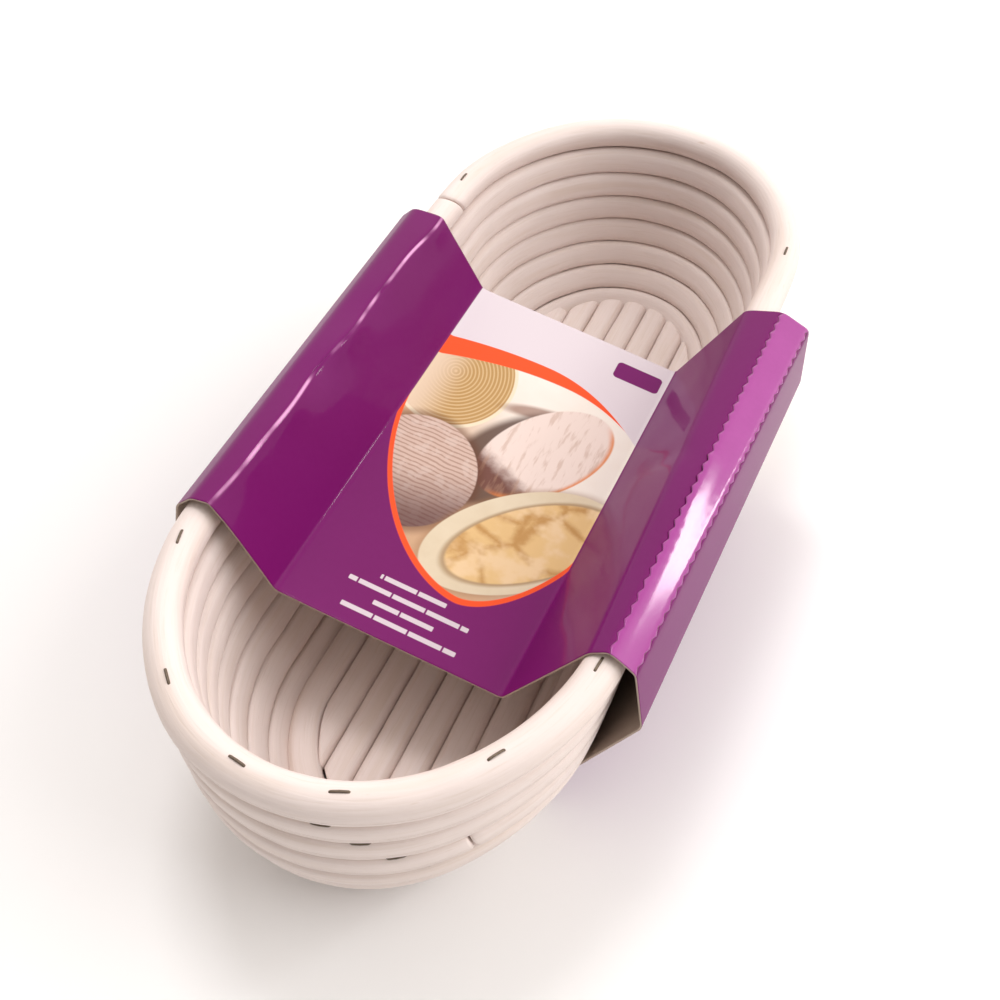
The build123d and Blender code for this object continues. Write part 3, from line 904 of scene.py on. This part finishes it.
def loaf_picture(m, across, along, place):
    """Generic picture: a coiled basket, a dark round loaf, a floured oval loaf and dough in a bowl."""
    crumb = m.noise(place, 260.0, 5.0)
    blotch = m.noise(place, 90.0, 3.0)
    table = m.mix(m.ramp(m.maths("MULTIPLY_ADD", across, 1.2, along), -55.0, 15.0),
                  (0.55, 0.33, 0.19), (0.86, 0.80, 0.74))
    table = m.mix(m.maths("MULTIPLY", blotch, 0.3), table, (0.70, 0.50, 0.36))

    basket = m.ellipse(across, along, (-30.0, 15.0), (21.0, 25.5), 0.2)
    rings = m.ramp(m.maths("SINE", m.maths("MULTIPLY", basket, 105.0)), -0.2, 0.9)
    golden = m.mix(m.maths("MULTIPLY", rings, 0.7), (0.46, 0.27, 0.10), (0.70, 0.50, 0.27))
    golden = m.mix(m.ramp(across, -24.0, -38.0), golden, (0.72, 0.55, 0.40))
    picture = m.mix(m.ramp(basket, 1.02, 0.99), table, (0.80, 0.68, 0.50))
    picture = m.mix(m.ramp(basket, 0.96, 0.94), picture, golden)

    crevice = m.ellipse(across, along, (0.0, 12.0), (12.0, 3.0), 0.3)
    picture = m.mix(m.maths("MULTIPLY", m.ramp(crevice, 1.2, 0.5), 0.7), picture, (0.22, 0.08, 0.04))
    shadow = m.ellipse(across, along, (3.0, -9.5), (27.0, 15.0), 1.05)
    picture = m.mix(m.maths("MULTIPLY", m.ramp(shadow, 1.15, 0.9), 0.88), picture, (0.07, 0.025, 0.015))
    loaf = m.ellipse(across, along, (10.0, -2.5), (27.0, 15.0), 1.06)
    from_end = m.maths("MULTIPLY_ADD", across, 0.45, m.maths("MULTIPLY_ADD", crumb, 7.0, along))
    scores = m.noise(m.stretch(place, (520.0, 90.0, 90.0)), 1.0, 3.0)
    crust = m.mix(m.ramp(from_end, -17.0, -8.0), (0.16, 0.065, 0.05), (0.78, 0.64, 0.58))
    crust = m.mix(m.maths("MULTIPLY", m.ramp(scores, 0.50, 0.66), 0.38), crust, (0.42, 0.24, 0.16))
    lower_side = m.ramp(m.maths("SUBTRACT", across, m.maths("MULTIPLY", along, 0.55)), 12.0, 20.0)
    glow = m.maths("MULTIPLY", m.ramp(loaf, 0.88, 1.0), lower_side)
    crust = m.mix(glow, crust, (0.70, 0.20, 0.04))
    picture = m.mix(m.ramp(loaf, 1.01, 0.97), picture, crust)

    round_loaf = m.ellipse(across, along, (-24.0, -30.5), (20.0, 23.0), 0.1)
    grooves = m.maths("MULTIPLY_ADD", along, 3.7, m.maths("MULTIPLY", blotch, 9.0))
    slashes = m.ramp(m.maths("SINE", grooves), 0.0, 0.9)
    flour = m.mix(m.maths("MULTIPLY", slashes, 0.55), (0.60, 0.43, 0.36), (0.25, 0.13, 0.09))
    flour = m.mix(m.maths("MULTIPLY", m.ramp(crumb, 0.5, 0.62), 0.4), flour, (0.68, 0.54, 0.48))
    underneath = m.ramp(m.maths("MULTIPLY_ADD", across, -0.35, along), -17.0, -44.0)
    flour = m.mix(m.maths("MULTIPLY", underneath, 0.85), flour, (0.10, 0.035, 0.035))
    picture = m.mix(m.maths("MULTIPLY", m.ramp(round_loaf, 1.18, 1.0), 0.6), picture, (0.12, 0.04, 0.02))
    picture = m.mix(m.ramp(round_loaf, 1.015, 0.985), picture, flour)

    bowl = m.ellipse(across, along, (16.5, -39.0), (33.0, 17.5), 0.82)
    picture = m.mix(m.maths("MULTIPLY", m.ramp(bowl, 1.12, 0.95), 0.55), picture, (0.30, 0.15, 0.07))
    rim = m.mix(blotch, (0.62, 0.50, 0.34), (0.76, 0.66, 0.50))
    picture = m.mix(m.ramp(bowl, 1.01, 0.985), picture, rim)
    dough = m.ellipse(across, along, (19.5, -38.0), (28.5, 13.0), 0.82)
    lumps = m.add("ShaderNodeTexVoronoi", {"Vector": place, "Scale": 62.0}, feature="DISTANCE_TO_EDGE")
    cracked = m.ramp(m.maths("MULTIPLY_ADD", crumb, 0.20, lumps.outputs[0]), 0.08, 0.24)
    golden_dough = m.mix(cracked, (0.50, 0.27, 0.09), (0.72, 0.48, 0.22))
    golden_dough = m.mix(m.ramp(blotch, 0.45, 0.65), golden_dough, (0.78, 0.56, 0.33))
    picture = m.mix(m.maths("MULTIPLY", m.ramp(dough, 1.10, 1.0), 0.75), picture, (0.33, 0.19, 0.08))
    return m.mix(m.ramp(dough, 1.01, 0.96), picture, golden_dough)


cane_material = rattan_material()
staple_material = steel_material()
card_board = board_material()
card_print = print_material()
strip_print = strip_material()

# ---------------------------------------------------------------- basket
course_cane("rim_cane", 0, RIM_RADIUS, RIM_FLATNESS, 3)
for number in range(1, COURSES + 1):
    course_cane(f"wall_course_{number}", number, COURSE_RADIUS, COURSE_FLATNESS, 10 + number)
base_canes()
staple_set("rim_staples", -0.15)
staple_set("course_staples", -1.6)
staple_set("base_staples", 0.1)


# ---------------------------------------------------------------- sleeve
def finish_card(piece, node, body):
    """Let a card stand for a CAD node on its body."""
    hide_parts(node)
    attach(piece, body)


wrap = card_piece("sleeve_wrap_card",
                  [RIGHT_CREST, RIGHT_SHOULDER, RIGHT_SKIRT, BOTTOM_RIGHT, BOTTOM_LEFT, LEFT_SKIRT,
                   LEFT_SHOULDER, LEFT_CROWN, LEFT_CREST, LEFT_PANEL],
                  crest_waver, (teeth(1), None), card_print)
finish_card(wrap, "sleeve_wrap", "sleeve")
strip = card_piece("tear_strip_card", [RIM_CONTACT, RIGHT_CREST, RIGHT_SHOULDER, RIGHT_SKIRT],
                   strip_bend, (teeth(1), teeth(-1)), strip_print)
finish_card(strip, "tear_strip", "tear_strip")
flap = card_piece("front_flap_card",
                  [LEFT_CROWN, LEFT_CREST, LEFT_PANEL, RIGHT_PANEL, RIM_CONTACT, RIGHT_CREST,
                   RIGHT_SHOULDER],
                  flap_waver, (None, teeth(-1)), card_print)
finish_card(flap, "front_flap", "front_flap")

# ---------------------------------------------------------------- floor, light and camera
bpy.ops.mesh.primitive_plane_add(size=6.0, location=(0, 0, -0.0005))
floor = bpy.context.object
floor.name = "pale_floor"
floor_paint = Nodes("pale_floor").finish(Base_Color=(0.93, 0.93, 0.93), Roughness=0.9)
floor.data.materials.append(floor_paint)

world = bpy.data.worlds.new("soft_white")
bpy.context.scene.world = world
world.use_nodes = True
sky = world.node_tree
direction = sky.nodes.new("ShaderNodeSeparateXYZ")
sky.links.new(sky.nodes.new("ShaderNodeTexCoord").outputs["Generated"], direction.inputs[0])
# the sky is dimmer on the near side
fade = sky.nodes.new("ShaderNodeMapRange")
for limit, value in (("From Min", -0.9), ("From Max", 0.6), ("To Min", 0.25), ("To Max", 1.25)):
    fade.inputs[limit].default_value = value
sky.links.new(direction.outputs[1], fade.inputs[0])
sky.links.new(fade.outputs[0], sky.nodes["Background"].inputs[1])
sky.nodes["Background"].inputs[0].default_value = (1.0, 0.94, 0.89, 1.0)


def area_light(name, position, target, size, power, colour=(1.0, 1.0, 1.0)):
    """Soft square light at position, facing target."""
    data = bpy.data.lights.new(name, "AREA")
    data.size = size
    data.energy = power
    data.color = colour
    lamp = bpy.data.objects.new(name, data)
    bpy.context.scene.collection.objects.link(lamp)
    direction = Vector(target) - Vector(position)
    lamp.rotation_euler = direction.to_track_quat("-Z", "Y").to_euler()
    lamp.location = position


area_light("key_light", (-0.27, 0.26, 1.2), (0, 0, 0.04), 0.34, 4.7, (1.0, 0.985, 1.0))
area_light("right_fill", (1.15, 0.15, 1.0), (0, 0, 0.03), 1.0, 8.0)
area_light("far_right_sheen", (0.94, 0.75, 0.60), (0.06, -0.04, 0.08), 0.16, 2.0)

CAMERA_AT = Vector((0.10361, -0.268, 0.32441))
CAMERA_TARGET = Vector((0.00685, -0.03312, 0.05165))
CAMERA_ROLL = math.radians(0.80)
camera = bpy.data.objects.new("camera", bpy.data.cameras.new("camera"))
bpy.context.scene.collection.objects.link(camera)
camera.data.sensor_width = 36.0
camera.data.lens = 44.39
camera.data.clip_start = 0.01
camera.location = CAMERA_AT
look = (CAMERA_TARGET - CAMERA_AT).to_track_quat("-Z", "Y").to_matrix()
camera.rotation_euler = (look @ Matrix.Rotation(CAMERA_ROLL, 3, "Z")).to_euler()
bpy.context.scene.camera = camera
bpy.context.scene.view_settings.view_transform = "Standard"
